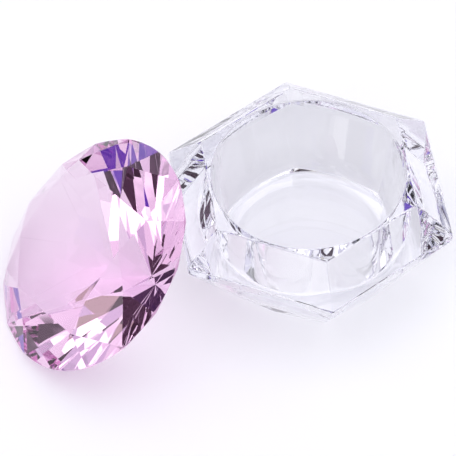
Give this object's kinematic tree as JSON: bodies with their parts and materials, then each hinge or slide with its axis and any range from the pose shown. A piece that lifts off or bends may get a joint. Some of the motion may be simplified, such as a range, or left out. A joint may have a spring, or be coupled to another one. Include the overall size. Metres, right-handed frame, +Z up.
{
  "type": "glass dappen dish with diamond lid",
  "caption": "Cut-glass hexagonal dappen dish with a round bowl for nail liquid or powder, and its loose pink brilliant-cut lid lying beside it.",
  "frame": {"origin": "centre of the cup's flat underside", "axes": "+Z up out of the bowl, two corners of the hexagon on +Y and -Y, the lid lies on the -X side"},
  "size_m": [0.1115, 0.0786, 0.0393],
  "materials": {
    "clear_glass": "polished clear cut glass",
    "pink_glass": "polished pale pink cut glass"
  },
  "bodies": {
    "cup": {"glass_cup": "clear_glass"},
    "lid": {"diamond_lid": "pink_glass"}
  },
  "joints": [
    {"name": "lid_lift", "type": "slide", "parent": "cup", "child": "lid", "axis": [0, 0, 1], "range_m": [0, 0.06]}
  ]
}
